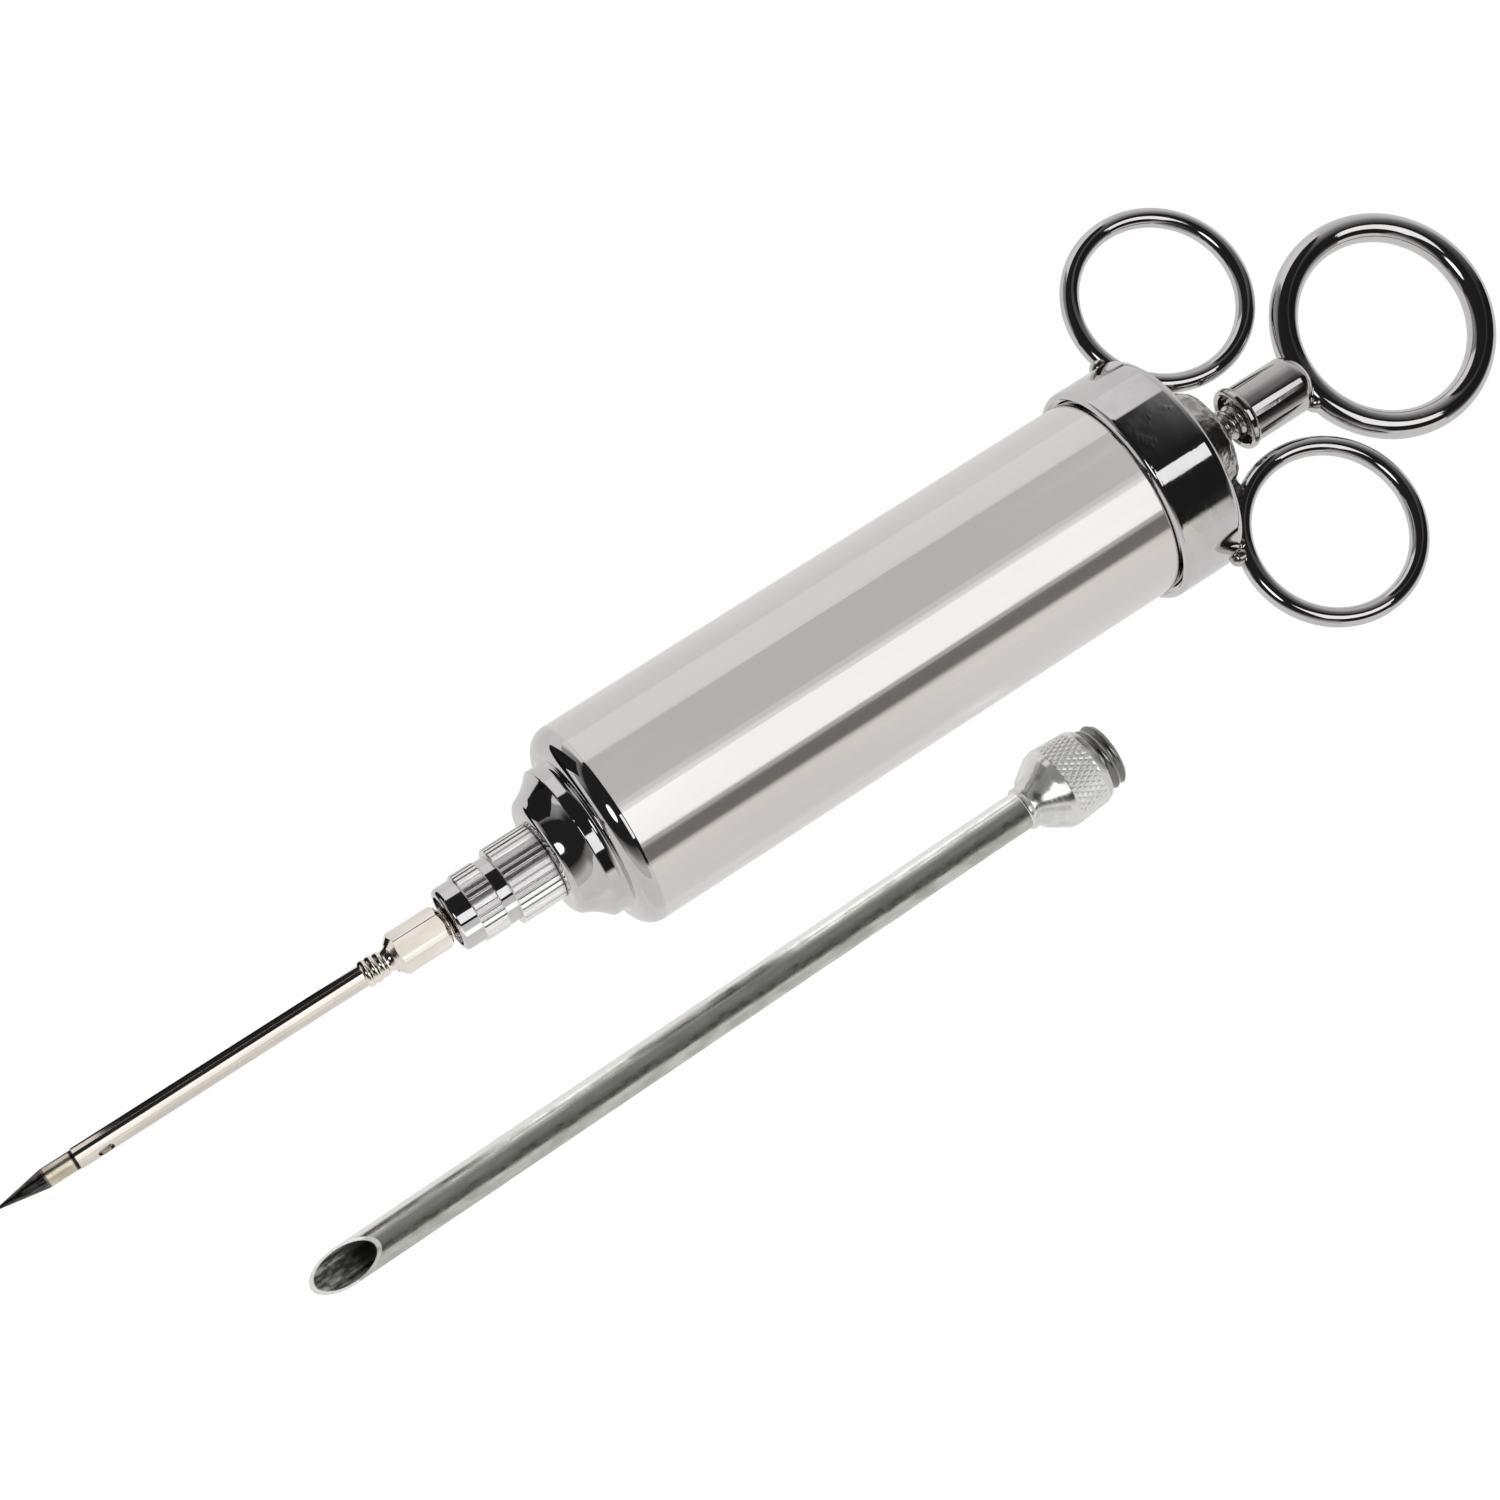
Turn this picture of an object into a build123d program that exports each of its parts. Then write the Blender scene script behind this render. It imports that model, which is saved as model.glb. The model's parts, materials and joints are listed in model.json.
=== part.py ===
from build123d import *
from math import atan2, cos, degrees, pi, radians, sin, sqrt
import os

# Meat injector: a two-ounce stainless syringe with two finger rings, a thumb ring, a hollow
# needle on a knurled adapter, and a wide spare needle lying beside it.
#
# Frame: millimetres. The origin is on the barrel's axis, midway along its bare polished length.
# +X runs from the needle to the thumb ring, the finger rings lie in the XY plane, and +Z is up.

# ---- driving dimensions ----------------------------------------------------------------------

# Barrel
BARREL_R = 15.9
BORE_R = 14.9
BARE_LENGTH = 90.4
CAP_THREAD_LENGTH = 7.5
CAP_THREAD_PITCH = 1.5
CAP_THREAD_DEPTH = 0.3

# Front cap: a nose that flares like a bell, a narrow band and a cove below a rounded shoulder
FRONT_CAP_LENGTH = 9.7
NOSE_R = 9.15
NOSE_ROUNDING = 0.75
FLARE_R = 10.0
FLARE_LENGTH = 2.35
SMALL_BELL_R = 11.85
SMALL_BELL_LENGTH = 4.45
BAND_LENGTH = 1.3
COVE_R = 0.95
COVE_SWEEP = 80.0
NOSE_BORE_R = 5.25
NOSE_BORE_DEPTH = 8.5
SPIGOT_LENGTH = 3.0
OUTLET_R = 2.2

# Rear cap
CAP_R = 17.4
CAP_LENGTH = 10.9
CAP_WALL = 2.0
CAP_LIP = 0.9
CAP_SHOULDER = 1.4
THREAD_CLEARANCE = 0.08
GASKET_THICKNESS = 1.35
GASKET_BORE_R = 12.5

# Yoke (boss and bar) and finger rings on the rear cap
BOSS_HEIGHT = 7.0
BOSS_BASE_R = 9.9
BOSS_TOP_R = 8.3
BUSH_R = 4.2
YOKE_BAR_HEIGHT = 6.0
YOKE_BAR_THICKNESS = 4.2
YOKE_BAR_LENGTH = 28.0
FINGER_RING_R = 13.45
FINGER_WIRE_R = 1.5
FINGER_RING_X = 24.8
FINGER_RING_Y = 21.75
BRAZE_BEAD_R = 1.5

# Plunger
ROD_R = 2.6
ROD_CLEARANCE = 0.08
ROD_TAIL_R = 2.0
PISTON_R = 14.7
PISTON_LENGTH = 12.0
PISTON_GAP = 0.5
O_RING_WIRE_R = 1.0
O_RING_CLEARANCE = 0.05
O_RING_GROOVE_WIDTH = 2.6
O_RING_OFFSET = 2.9
NUT_POCKET_DEPTH = 4.4
NUT_POCKET_R = 5.4
NUT_WASHER_R = 4.3
NUT_WASHER_THICKNESS = 0.8
NUT_FLATS = 7.0
NUT_HEIGHT = 3.0
HUB_R = 4.6
HUB_LIP_R = 5.0
HUB_GAP = 5.0
HUB_LENGTH = 13.2
HUB_END_WALL = 3.4
HUB_RECESS_R = 4.1
HUB_RECESS_DEPTH = 2.4
THUMB_RING_R = 15.6
THUMB_WIRE_R = 2.2
THUMB_RING_X = 96.95
THUMB_RING_TURN = 5.0

# Needle adapter: two straight-knurled bands
ADAPTER_LENGTH = 15.8
ADAPTER_LIP_LENGTH = 3.1
BIG_KNURL_R = 6.05
BIG_KNURL_LENGTH = 7.0
BIG_KNURL_TEETH = 40
SMALL_KNURL_R = 5.3
SMALL_KNURL_LENGTH = 3.9
SMALL_KNURL_TEETH = 36
ADAPTER_BAND_R = 5.1
ADAPTER_LIP_R = 4.9
KNURL_DEPTH = 0.2
ADAPTER_SPIGOT_LENGTH = 6.9
ADAPTER_BORE_R = 3.05
ADAPTER_BORE_DEPTH = 8.75
ADAPTER_RECESS_R = 3.9
ADAPTER_RECESS_DEPTH = 1.0
WASHER_THICKNESS = 1.4
END_GAP = 0.05

# Needle
HEX_FLATS = 6.05
HEX_ROUNDING = 1.4
HEX_LENGTH = 8.1
HEX_TURN = 6.5
NEEDLE_NECK = 0.9
NEEDLE_NECK_R = 2.0
FERRULE_LENGTH = 5.0
FERRULE_BEAD_R = 2.05
NEEDLE_SOCKET_DEPTH = 3.0
NEEDLE_THREAD_R = 2.95
NEEDLE_TUBE_R = 1.6
NEEDLE_BORE_R = 1.15
NEEDLE_TUBE_END_X = -130.0
NEEDLE_TIP_X = -142.6
TIP_PLUG_R = 1.45
TIP_CONE_LENGTH = 7.8
SIDE_PORT_R = 0.6
SIDE_PORT_LENGTH = 2.4
SIDE_PORT_OFFSET = 4.0
SIDE_PORT_TURN = 60.0

# Spare needle, slant cut, lying on the same surface as the rear cap
SPARE_TUBE_R = 2.95
SPARE_BORE_R = 2.5
SPARE_CUT_LENGTH = 11.2
SPARE_CUT_ROLL = 6.0
SPARE_SOCKET_DEPTH = 4.0
SPARE_SHOULDER_X = 122.4
SPARE_KNURL_X = 128.5
SPARE_KNURL_LENGTH = 5.4
SPARE_COLLAR_LENGTH = 1.3
SPARE_SPIGOT_LENGTH = 2.9
SPARE_HUB_R = 6.45
SPARE_KNURL_END_R = 6.1
SPARE_SPIGOT_R = 5.1
SPARE_TIP_X = -112.9
SPARE_TIP_Y = -30.4
SPARE_YAW = 0.3

# ---- stations along the axis, worked out from the sizes above --------------------------------

BARREL_FRONT_X = -BARE_LENGTH / 2
CAP_FRONT_X = BARE_LENGTH / 2
BARREL_REAR_X = CAP_FRONT_X + CAP_THREAD_LENGTH
CAP_REAR_X = CAP_FRONT_X + CAP_LENGTH
CAP_INNER_X = CAP_REAR_X - CAP_WALL
BOSS_TOP_X = CAP_REAR_X + BOSS_HEIGHT
NOSE_X = BARREL_FRONT_X - FRONT_CAP_LENGTH
CHAMBER_X = BARREL_FRONT_X + SPIGOT_LENGTH
NOSE_FLOOR_X = NOSE_X + NOSE_BORE_DEPTH
PISTON_FRONT_X = CHAMBER_X + PISTON_GAP
PISTON_REAR_X = PISTON_FRONT_X + PISTON_LENGTH
NUT_SEAT_X = PISTON_FRONT_X + NUT_POCKET_DEPTH
HUB_X = BOSS_TOP_X + HUB_GAP
ROD_END_X = HUB_X + HUB_LENGTH - HUB_END_WALL
ADAPTER_REAR_X = NOSE_X - END_GAP
ADAPTER_FRONT_X = ADAPTER_REAR_X - ADAPTER_LENGTH
ADAPTER_FLOOR_X = ADAPTER_FRONT_X + ADAPTER_BORE_DEPTH
HEX_REAR_X = ADAPTER_FRONT_X - NEEDLE_NECK
HEX_FRONT_X = HEX_REAR_X - HEX_LENGTH
NEEDLE_SOCKET_X = HEX_FRONT_X + NEEDLE_SOCKET_DEPTH
O_RING_MEAN_R = BORE_R - O_RING_CLEARANCE - O_RING_WIRE_R
GROOVE_ROOT_R = O_RING_MEAN_R - O_RING_WIRE_R - 0.1


# ---- helpers ---------------------------------------------------------------------------------


def turned(start, *steps):
    """A solid turned about X. Steps are (x, r) ends of straight runs, or (x, r, x, r) for an
    arc through the first point to the second."""
    edges = []
    here = start
    for step in steps:
        if len(step) == 4:
            edges.append(ThreePointArc(here, step[:2], step[2:]))
        else:
            edges.append(Line(here, step))
        here = step[-2:]
    edges.append(Line(here, start))
    return revolve(Face(Wire(edges)), Axis.X)


def disc(x_low, x_high, outer_r, inner_r=0.0):
    """A plain disc or ring about X."""
    return turned((x_low, inner_r), (x_low, outer_r), (x_high, outer_r), (x_high, inner_r))


def torus_at(centre, mean_r, wire_r, turn=0.0):
    """A round-wire ring lying in the XY plane, turned about its X direction."""
    return Pos(*centre) * Rot(turn, 0, 0) * Torus(mean_r, wire_r)


def thread_outline(x_start, x_end, crest_r, depth, pitch):
    """Points of V-shaped ridges between two stations, for a turned outline."""
    direction = 1 if x_end > x_start else -1
    count = int(abs(x_end - x_start) / pitch)
    points = []
    for ridge in range(count):
        x = x_start + direction * ridge * pitch
        points.append((x + direction * pitch * 0.10, crest_r))
        points.append((x + direction * pitch * 0.35, crest_r))
        points.append((x + direction * pitch * 0.60, crest_r - depth))
        points.append((x + direction * pitch * 0.85, crest_r - depth))
    return points


def knurled_band(x_low, x_high, crest_r, depth, teeth):
    """A straight-knurled bar about X: flat-topped teeth along the axis with narrow V grooves."""
    step = 2 * pi / teeth
    outline = []
    for tooth in range(teeth):
        for share, radius in ((0.0, crest_r - depth), (0.2, crest_r), (0.8, crest_r)):
            angle = (tooth + share) * step
            outline.append((radius * cos(angle), radius * sin(angle)))
    profile = make_face(Polyline(*outline, close=True))
    band = extrude(Plane.YZ.offset(x_low) * profile, amount=x_high - x_low)
    chamfered = turned(
        (x_low, 0),
        (x_low, crest_r - depth),
        (x_low + depth, crest_r + 0.01),
        (x_high - depth, crest_r + 0.01),
        (x_high, crest_r - depth),
        (x_high, 0),
    )
    return band & chamfered


def save(node, *solids):
    """Write one node: a single solid, or a group of alike solids."""
    shape = solids[0] if len(solids) == 1 else Compound(children=list(solids))
    export_step(shape, f"parts/{node}.step")


# ---- barrel and front cap --------------------------------------------------------------------


def barrel_tube():
    thread = thread_outline(
        CAP_FRONT_X + 1.2, BARREL_REAR_X, BARREL_R, CAP_THREAD_DEPTH, CAP_THREAD_PITCH
    )
    return turned(
        (BARREL_FRONT_X, BORE_R),
        (BARREL_FRONT_X, BARREL_R),
        (CAP_FRONT_X, BARREL_R),
        (CAP_FRONT_X + 0.3, BARREL_R - CAP_THREAD_DEPTH),
        *thread,
        (BARREL_REAR_X, BARREL_R - CAP_THREAD_DEPTH),
        (BARREL_REAR_X, BORE_R),
    )


def front_cap():
    crease_x = NOSE_X + SMALL_BELL_LENGTH
    cove_x = crease_x + BAND_LENGTH
    cove_low, cove_mid, cove_high = (
        (cove_x + COVE_R * sin(turn), SMALL_BELL_R + COVE_R * (1 - cos(turn)))
        for turn in (0, radians(COVE_SWEEP / 2), radians(COVE_SWEEP))
    )
    return turned(
        (NOSE_X, NOSE_BORE_R + 0.3),
        (NOSE_X, NOSE_R - NOSE_ROUNDING - 0.8),
        (NOSE_X + 0.22, NOSE_R - 0.62, NOSE_X + NOSE_ROUNDING, NOSE_R),
        (NOSE_X + FLARE_LENGTH, FLARE_R, crease_x - 0.2, SMALL_BELL_R - 0.16),
        (crease_x - 0.08, SMALL_BELL_R - 0.05, crease_x + 0.15, SMALL_BELL_R),
        cove_low,
        (*cove_mid, *cove_high),
        (cove_high[0] + 0.75, 14.75, BARREL_FRONT_X - 0.45, BARREL_R - 0.05),
        (BARREL_FRONT_X - 0.12, BARREL_R),
        (BARREL_FRONT_X, BARREL_R - 0.12),
        (BARREL_FRONT_X, BORE_R),
        (CHAMBER_X, BORE_R),
        (CHAMBER_X, 9.0),
        (CHAMBER_X - 2.0, OUTLET_R),
        (NOSE_FLOOR_X, OUTLET_R),
        (NOSE_FLOOR_X, NOSE_BORE_R),
        (NOSE_X + 0.3, NOSE_BORE_R),
    )


# ---- rear cap, gasket, yoke and finger rings -------------------------------------------------


def finger_ring(side):
    centre = (CAP_FRONT_X + FINGER_RING_X, side * FINGER_RING_Y, 0)
    return torus_at(centre, FINGER_RING_R, FINGER_WIRE_R)


def rear_cap():
    cap = turned(
        (CAP_FRONT_X + 0.1, 16.5),
        (CAP_FRONT_X, CAP_R - CAP_LIP + 0.15),
        (CAP_FRONT_X + 0.25, CAP_R - 0.25, CAP_FRONT_X + CAP_LIP, CAP_R),
        (CAP_REAR_X - CAP_SHOULDER, CAP_R),
        (CAP_REAR_X - 0.4, CAP_R - 0.4, CAP_REAR_X, CAP_R - CAP_SHOULDER),
        (CAP_REAR_X, BUSH_R),
        (CAP_INNER_X, BUSH_R),
        (CAP_INNER_X, BARREL_R + THREAD_CLEARANCE),
        (CAP_FRONT_X + 1.0, BARREL_R + THREAD_CLEARANCE),
        (CAP_FRONT_X + 0.9, 16.5),
    )
    return cap - finger_ring(1) - finger_ring(-1)


def rear_cap_gasket():
    rear = CAP_INNER_X - END_GAP
    return disc(rear - GASKET_THICKNESS, rear, BARREL_R - 0.1, GASKET_BORE_R)


def finger_yoke():
    """The cast boss that the rod comes out of, with a bar out to each finger ring."""
    boss = turned(
        (CAP_REAR_X, BUSH_R),
        (CAP_REAR_X, BOSS_BASE_R),
        (CAP_REAR_X + 3.2, BOSS_TOP_R + 0.9, BOSS_TOP_X - 1.2, BOSS_TOP_R),
        (BOSS_TOP_X - 0.35, BOSS_TOP_R - 0.35, BOSS_TOP_X, BOSS_TOP_R - 1.2),
        (BOSS_TOP_X, BUSH_R),
    )
    bar = Pos(CAP_REAR_X + YOKE_BAR_HEIGHT / 2, 0, 0) * Box(
        YOKE_BAR_HEIGHT, YOKE_BAR_LENGTH, YOKE_BAR_THICKNESS
    )
    bar = fillet(bar.edges().filter_by(Axis.Y), 1.2)
    bar -= disc(CAP_REAR_X - 1, BOSS_TOP_X + 1, BUSH_R)
    yoke = boss + bar
    for side in (1, -1):
        centre = Pos(CAP_FRONT_X + FINGER_RING_X, side * FINGER_RING_Y, 0)
        yoke -= centre * Cylinder(FINGER_RING_R, 3 * YOKE_BAR_THICKNESS)
        yoke -= finger_ring(side)
    return yoke


def braze_bead(side):
    """The blob of braze where a ring's wire crosses the rear cap's corner."""
    ring_x = CAP_FRONT_X + FINGER_RING_X
    corner_y = CAP_R + 0.35
    reach = sqrt(FINGER_RING_R**2 - (FINGER_RING_Y - corner_y) ** 2)
    bead = Pos(ring_x - reach - 1.3, side * corner_y, 0) * Sphere(BRAZE_BEAD_R)
    return bead - finger_ring(side) - rear_cap()


def rod_guide_bush():
    return disc(CAP_INNER_X, BOSS_TOP_X, BUSH_R, ROD_R + ROD_CLEARANCE)


# ---- plunger ---------------------------------------------------------------------------------

def piston_body():
    grooves = []
    for centre_x in (PISTON_FRONT_X + O_RING_OFFSET, PISTON_REAR_X - O_RING_OFFSET):
        low = centre_x - O_RING_GROOVE_WIDTH / 2
        high = centre_x + O_RING_GROOVE_WIDTH / 2
        grooves += [(low, PISTON_R), (low, GROOVE_ROOT_R), (high, GROOVE_ROOT_R), (high, PISTON_R)]
    return turned(
        (PISTON_FRONT_X, NUT_POCKET_R),
        (PISTON_FRONT_X, PISTON_R - 0.5),
        (PISTON_FRONT_X + 0.5, PISTON_R),
        *grooves,
        (PISTON_REAR_X - 0.5, PISTON_R),
        (PISTON_REAR_X, PISTON_R - 0.5),
        (PISTON_REAR_X, ROD_TAIL_R),
        (NUT_SEAT_X, ROD_TAIL_R),
        (NUT_SEAT_X, NUT_POCKET_R),
    )


def o_ring(x):
    return Pos(x, 0, 0) * Rot(0, 90, 0) * Torus(O_RING_MEAN_R, O_RING_WIRE_R)


def hexagon_bar(x_low, x_high, flats, turn=0.0):
    profile = RegularPolygon(flats / 2, 6, major_radius=False, rotation=turn)
    return extrude(Plane.YZ.offset(x_low) * profile, amount=x_high - x_low)


def piston_washer():
    return disc(NUT_SEAT_X - NUT_WASHER_THICKNESS, NUT_SEAT_X, NUT_WASHER_R, ROD_TAIL_R)


def piston_nut():
    rear = NUT_SEAT_X - NUT_WASHER_THICKNESS
    front = rear - NUT_HEIGHT
    nut = hexagon_bar(front, rear, NUT_FLATS)
    corner_r = NUT_FLATS / sqrt(3)
    rounding = turned(
        (front, ROD_TAIL_R),
        (front, corner_r - 0.5),
        (front + 0.5, corner_r),
        (rear, corner_r),
        (rear, ROD_TAIL_R),
    )
    return nut & rounding


def plunger_rod():
    thread_start = BOSS_TOP_X + 1.2
    ridges = thread_outline(thread_start, HUB_X + HUB_RECESS_DEPTH, ROD_R, 0.4, 0.9)
    return turned(
        (PISTON_FRONT_X + 0.3, 0),
        (PISTON_FRONT_X + 0.3, ROD_TAIL_R - 0.3),
        (PISTON_FRONT_X + 0.6, ROD_TAIL_R),
        (PISTON_REAR_X, ROD_TAIL_R),
        (PISTON_REAR_X, ROD_R),
        *ridges,
        (HUB_X + HUB_RECESS_DEPTH, ROD_R - 0.4),
        (HUB_X + HUB_RECESS_DEPTH, ROD_R),
        (ROD_END_X, ROD_R),
        (ROD_END_X, 0),
    )


def thumb_ring():
    return torus_at((THUMB_RING_X, 0, 0), THUMB_RING_R, THUMB_WIRE_R, THUMB_RING_TURN)


def thumb_hub():
    rear = HUB_X + HUB_LENGTH
    hub = turned(
        (ROD_END_X, 0),
        (ROD_END_X, ROD_R),
        (HUB_X + HUB_RECESS_DEPTH, ROD_R),
        (HUB_X + HUB_RECESS_DEPTH, HUB_RECESS_R),
        (HUB_X + 0.3, HUB_RECESS_R),
        (HUB_X, HUB_RECESS_R + 0.3),
        (HUB_X - 0.01, HUB_LIP_R - 0.45, HUB_X + 0.5, HUB_LIP_R),
        (HUB_X + 1.1, HUB_LIP_R - 0.05, HUB_X + 1.5, HUB_R),
        (rear - 2.6, HUB_R),
        (rear - 1.1, HUB_R - 0.75, rear, 2.0),
        (rear, 0),
    )
    return hub - thumb_ring()


# ---- needle adapter --------------------------------------------------------------------------


def needle_adapter():
    big_front = ADAPTER_REAR_X - BIG_KNURL_LENGTH
    small_front = ADAPTER_FRONT_X + ADAPTER_LIP_LENGTH
    small_rear = small_front + SMALL_KNURL_LENGTH
    spigot_rear = ADAPTER_REAR_X + ADAPTER_SPIGOT_LENGTH
    spigot_r = NOSE_BORE_R - 0.1
    core = turned(
        (ADAPTER_FRONT_X, 0),
        (ADAPTER_FRONT_X, ADAPTER_LIP_R - 0.6),
        (ADAPTER_FRONT_X + 0.2, ADAPTER_LIP_R - 0.2, ADAPTER_FRONT_X + 0.7, ADAPTER_LIP_R),
        (small_front, ADAPTER_LIP_R),
        (small_front, ADAPTER_BAND_R - 0.4),
        (small_rear, ADAPTER_BAND_R - 0.4),
        (small_rear, ADAPTER_BAND_R),
        (big_front, ADAPTER_BAND_R),
        (big_front, ADAPTER_BAND_R - 0.2),
        (ADAPTER_REAR_X, ADAPTER_BAND_R - 0.2),
        (ADAPTER_REAR_X, spigot_r - 0.4),
        *thread_outline(ADAPTER_REAR_X + 0.4, spigot_rear - 0.3, spigot_r, 0.4, 1.0),
        (spigot_rear, spigot_r - 0.5),
        (spigot_rear, 0),
    )
    body = core + knurled_band(
        small_front, small_rear, SMALL_KNURL_R, KNURL_DEPTH, SMALL_KNURL_TEETH
    )
    body += knurled_band(big_front, ADAPTER_REAR_X, BIG_KNURL_R, KNURL_DEPTH, BIG_KNURL_TEETH)
    body -= disc(ADAPTER_FRONT_X - 1, ADAPTER_FLOOR_X, ADAPTER_BORE_R)
    body -= disc(ADAPTER_FRONT_X - 1, ADAPTER_FRONT_X + ADAPTER_RECESS_DEPTH, ADAPTER_RECESS_R)
    return body - disc(ADAPTER_FLOOR_X - 1, spigot_rear + 1, OUTLET_R / 2)


def adapter_washer():
    front = ADAPTER_REAR_X + ADAPTER_SPIGOT_LENGTH + END_GAP
    return disc(front, front + WASHER_THICKNESS, NOSE_BORE_R - 0.15, OUTLET_R)


# ---- needle ----------------------------------------------------------------------------------


def needle_hub():
    corner_r = HEX_FLATS / sqrt(3)
    spigot_rear = ADAPTER_FLOOR_X - WASHER_THICKNESS - 2 * END_GAP
    hexagon = hexagon_bar(HEX_FRONT_X - 1, HEX_REAR_X, HEX_FLATS, HEX_TURN)
    hexagon = fillet(hexagon.edges().filter_by(Axis.X), HEX_ROUNDING)
    hexagon &= turned(
        (HEX_FRONT_X - 0.6, 0),
        (HEX_FRONT_X - 0.6, 2.0),
        (HEX_FRONT_X + 0.8, corner_r),
        (HEX_REAR_X - 0.7, corner_r),
        (HEX_REAR_X, corner_r - 0.7),
        (HEX_REAR_X, 0),
    )
    ferrule_x = HEX_FRONT_X - FERRULE_LENGTH
    core = turned(
        (ferrule_x, NEEDLE_TUBE_R),
        (ferrule_x + 0.1, FERRULE_BEAD_R - 0.3),
        (ferrule_x + 0.65, FERRULE_BEAD_R, ferrule_x + 1.2, FERRULE_BEAD_R - 0.25),
        (ferrule_x + 1.8, FERRULE_BEAD_R, ferrule_x + 2.4, FERRULE_BEAD_R - 0.35),
        (ferrule_x + 2.95, FERRULE_BEAD_R - 0.15, ferrule_x + 3.5, FERRULE_BEAD_R - 0.4),
        (ferrule_x + 4.3, FERRULE_BEAD_R - 0.25, HEX_FRONT_X, 2.45),
        (HEX_REAR_X, 2.45),
        (HEX_REAR_X, NEEDLE_NECK_R),
        (HEX_REAR_X + 0.35, NEEDLE_NECK_R + 0.35, HEX_REAR_X + 0.7, NEEDLE_NECK_R),
        (ADAPTER_FRONT_X + ADAPTER_RECESS_DEPTH, NEEDLE_NECK_R),
        (ADAPTER_FRONT_X + ADAPTER_RECESS_DEPTH, NEEDLE_THREAD_R - 0.3),
        *thread_outline(ADAPTER_FRONT_X + 1.1, spigot_rear - 0.2, NEEDLE_THREAD_R, 0.3, 0.75),
        (spigot_rear, NEEDLE_THREAD_R - 0.4),
        (spigot_rear, NEEDLE_BORE_R),
        (NEEDLE_SOCKET_X, NEEDLE_BORE_R),
        (NEEDLE_SOCKET_X, NEEDLE_TUBE_R),
    )
    return core + (hexagon - disc(HEX_FRONT_X - 2, HEX_REAR_X + 1, 2.2))


def needle_washer():
    rear = ADAPTER_FLOOR_X - END_GAP
    return disc(rear - WASHER_THICKNESS, rear, ADAPTER_BORE_R - 0.1, NEEDLE_BORE_R)


def needle_tube():
    """A thin tube with a round-ended port on each side, just behind the solid tip."""
    tube = disc(NEEDLE_TUBE_END_X, NEEDLE_SOCKET_X, NEEDLE_TUBE_R, NEEDLE_BORE_R)
    port = extrude(SlotOverall(SIDE_PORT_LENGTH, 2 * SIDE_PORT_R), amount=4, both=True)
    return tube - Pos(NEEDLE_TUBE_END_X + SIDE_PORT_OFFSET, 0, 0) * Rot(SIDE_PORT_TURN, 0, 0) * port


def needle_tip():
    plug_front = NEEDLE_TIP_X + TIP_CONE_LENGTH
    return turned(
        (NEEDLE_TIP_X, 0),
        (NEEDLE_TIP_X + 0.05, 0.06),
        (plug_front, TIP_PLUG_R),
        (NEEDLE_TUBE_END_X, TIP_PLUG_R),
        (NEEDLE_TUBE_END_X, NEEDLE_BORE_R),
        (NEEDLE_TUBE_END_X + 2.0, NEEDLE_BORE_R),
        (NEEDLE_TUBE_END_X + 2.0, 0),
    )


# ---- spare needle ----------------------------------------------------------------------------


def spare_place():
    """Lay the spare needle down: its tip and its widest part both touch the surface."""
    rise = degrees(atan2(SPARE_HUB_R - SPARE_TUBE_R, SPARE_KNURL_X))
    tip_z = -CAP_R + SPARE_TUBE_R
    return Pos(SPARE_TIP_X, SPARE_TIP_Y, tip_z) * Rot(0, -rise, SPARE_YAW)


def spare_needle_tube():
    tube = disc(0, SPARE_SHOULDER_X + SPARE_SOCKET_DEPTH, SPARE_TUBE_R, SPARE_BORE_R)
    slope = degrees(atan2(2 * SPARE_TUBE_R, SPARE_CUT_LENGTH))
    above = Pos(0, 0, 20) * Box(60, 20, 40)
    cutter = Rot(SPARE_CUT_ROLL, 0, 0) * Pos(0, 0, -SPARE_TUBE_R) * Rot(0, -slope, 0) * above
    return spare_place() * (tube - cutter)


def spare_needle_hub():
    knurl_end = SPARE_KNURL_X + SPARE_KNURL_LENGTH
    collar_end = knurl_end + SPARE_COLLAR_LENGTH
    spigot_end = collar_end + SPARE_SPIGOT_LENGTH
    socket_end = SPARE_SHOULDER_X + SPARE_SOCKET_DEPTH
    hub = turned(
        (SPARE_SHOULDER_X, SPARE_TUBE_R),
        (SPARE_SHOULDER_X, 3.3),
        (SPARE_SHOULDER_X + 1.0, 3.55, SPARE_SHOULDER_X + 1.6, 4.1),
        (SPARE_KNURL_X - 1.0, SPARE_HUB_R - 0.35),
        (SPARE_KNURL_X, SPARE_HUB_R),
        (knurl_end, SPARE_KNURL_END_R),
        (collar_end - 0.5, SPARE_KNURL_END_R - 0.25),
        (collar_end, SPARE_KNURL_END_R - 0.9),
        (collar_end, SPARE_SPIGOT_R - 0.6),
        *thread_outline(collar_end + 0.5, spigot_end - 0.3, SPARE_SPIGOT_R, 0.6, 1.5),
        (spigot_end, SPARE_SPIGOT_R - 0.7),
        (spigot_end, SPARE_BORE_R),
        (socket_end, SPARE_BORE_R),
        (socket_end, SPARE_TUBE_R),
    )
    return spare_place() * hub


# ---- write one file per node -----------------------------------------------------------------

os.makedirs("parts", exist_ok=True)

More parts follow.
